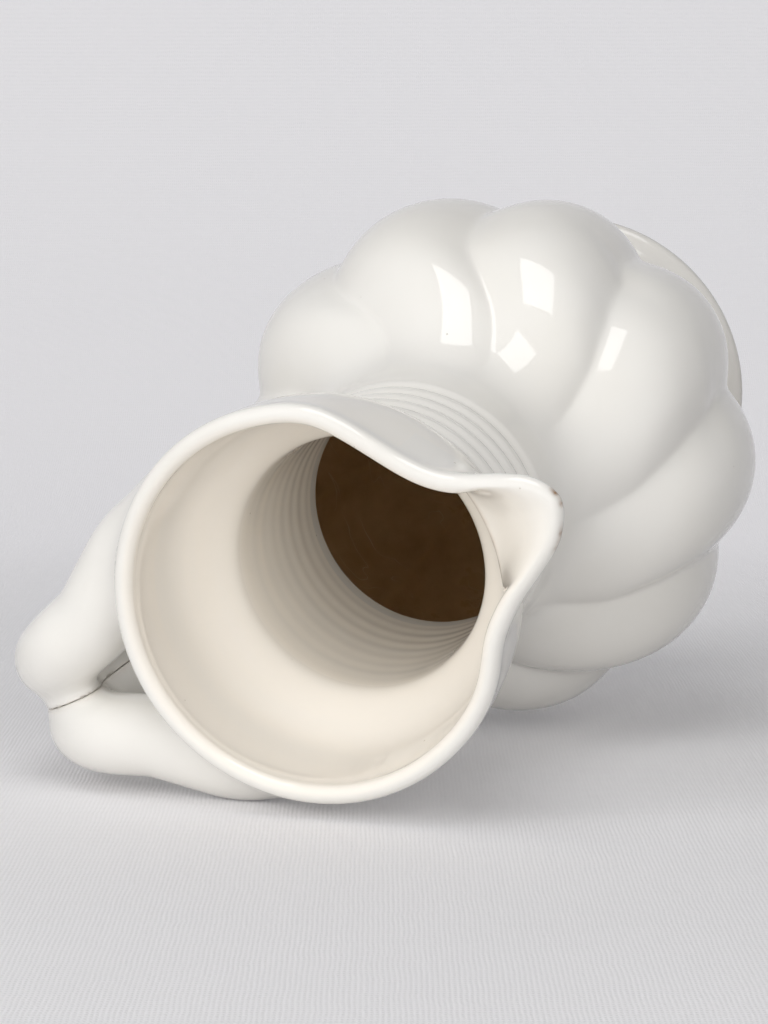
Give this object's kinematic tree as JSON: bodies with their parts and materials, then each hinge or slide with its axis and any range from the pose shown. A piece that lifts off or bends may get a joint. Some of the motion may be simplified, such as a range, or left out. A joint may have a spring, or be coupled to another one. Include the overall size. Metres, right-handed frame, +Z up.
{
  "type": "lobed ceramic pitcher",
  "caption": "White-glazed earthenware pitcher with a gadrooned round body on a flared foot, a ribbed neck, a wide mouth with a pinched pouring lip and a double-strand handle.",
  "frame": {"origin": "centre of the foot ring, in the plane that the jug stands on", "axes": "+Z up the axis of the jug, +X towards the handle, so that the pouring lip points to -X"},
  "size_m": [0.2413, 0.2082, 0.341],
  "materials": {
    "cream_glaze": "glossy warm off-white glaze with fine pinholes",
    "cream_glaze_inside": "the same glossy glaze in the bowl of the mouth, a little warmer",
    "brown_lining_glaze": "dark umber glaze with faint scratches",
    "foot_glaze": "cream glaze, thinner on the edge of the foot"
  },
  "bodies": {
    "root": {"foot": "foot_glaze", "body_shell": "cream_glaze", "inner_lining": "brown_lining_glaze", "neck": "cream_glaze", "collar": "cream_glaze_inside", "rim_band": "cream_glaze", "pouring_lip": "cream_glaze", "handle_strand_left": "cream_glaze", "handle_strand_right": "cream_glaze"}
  },
  "joints": []
}
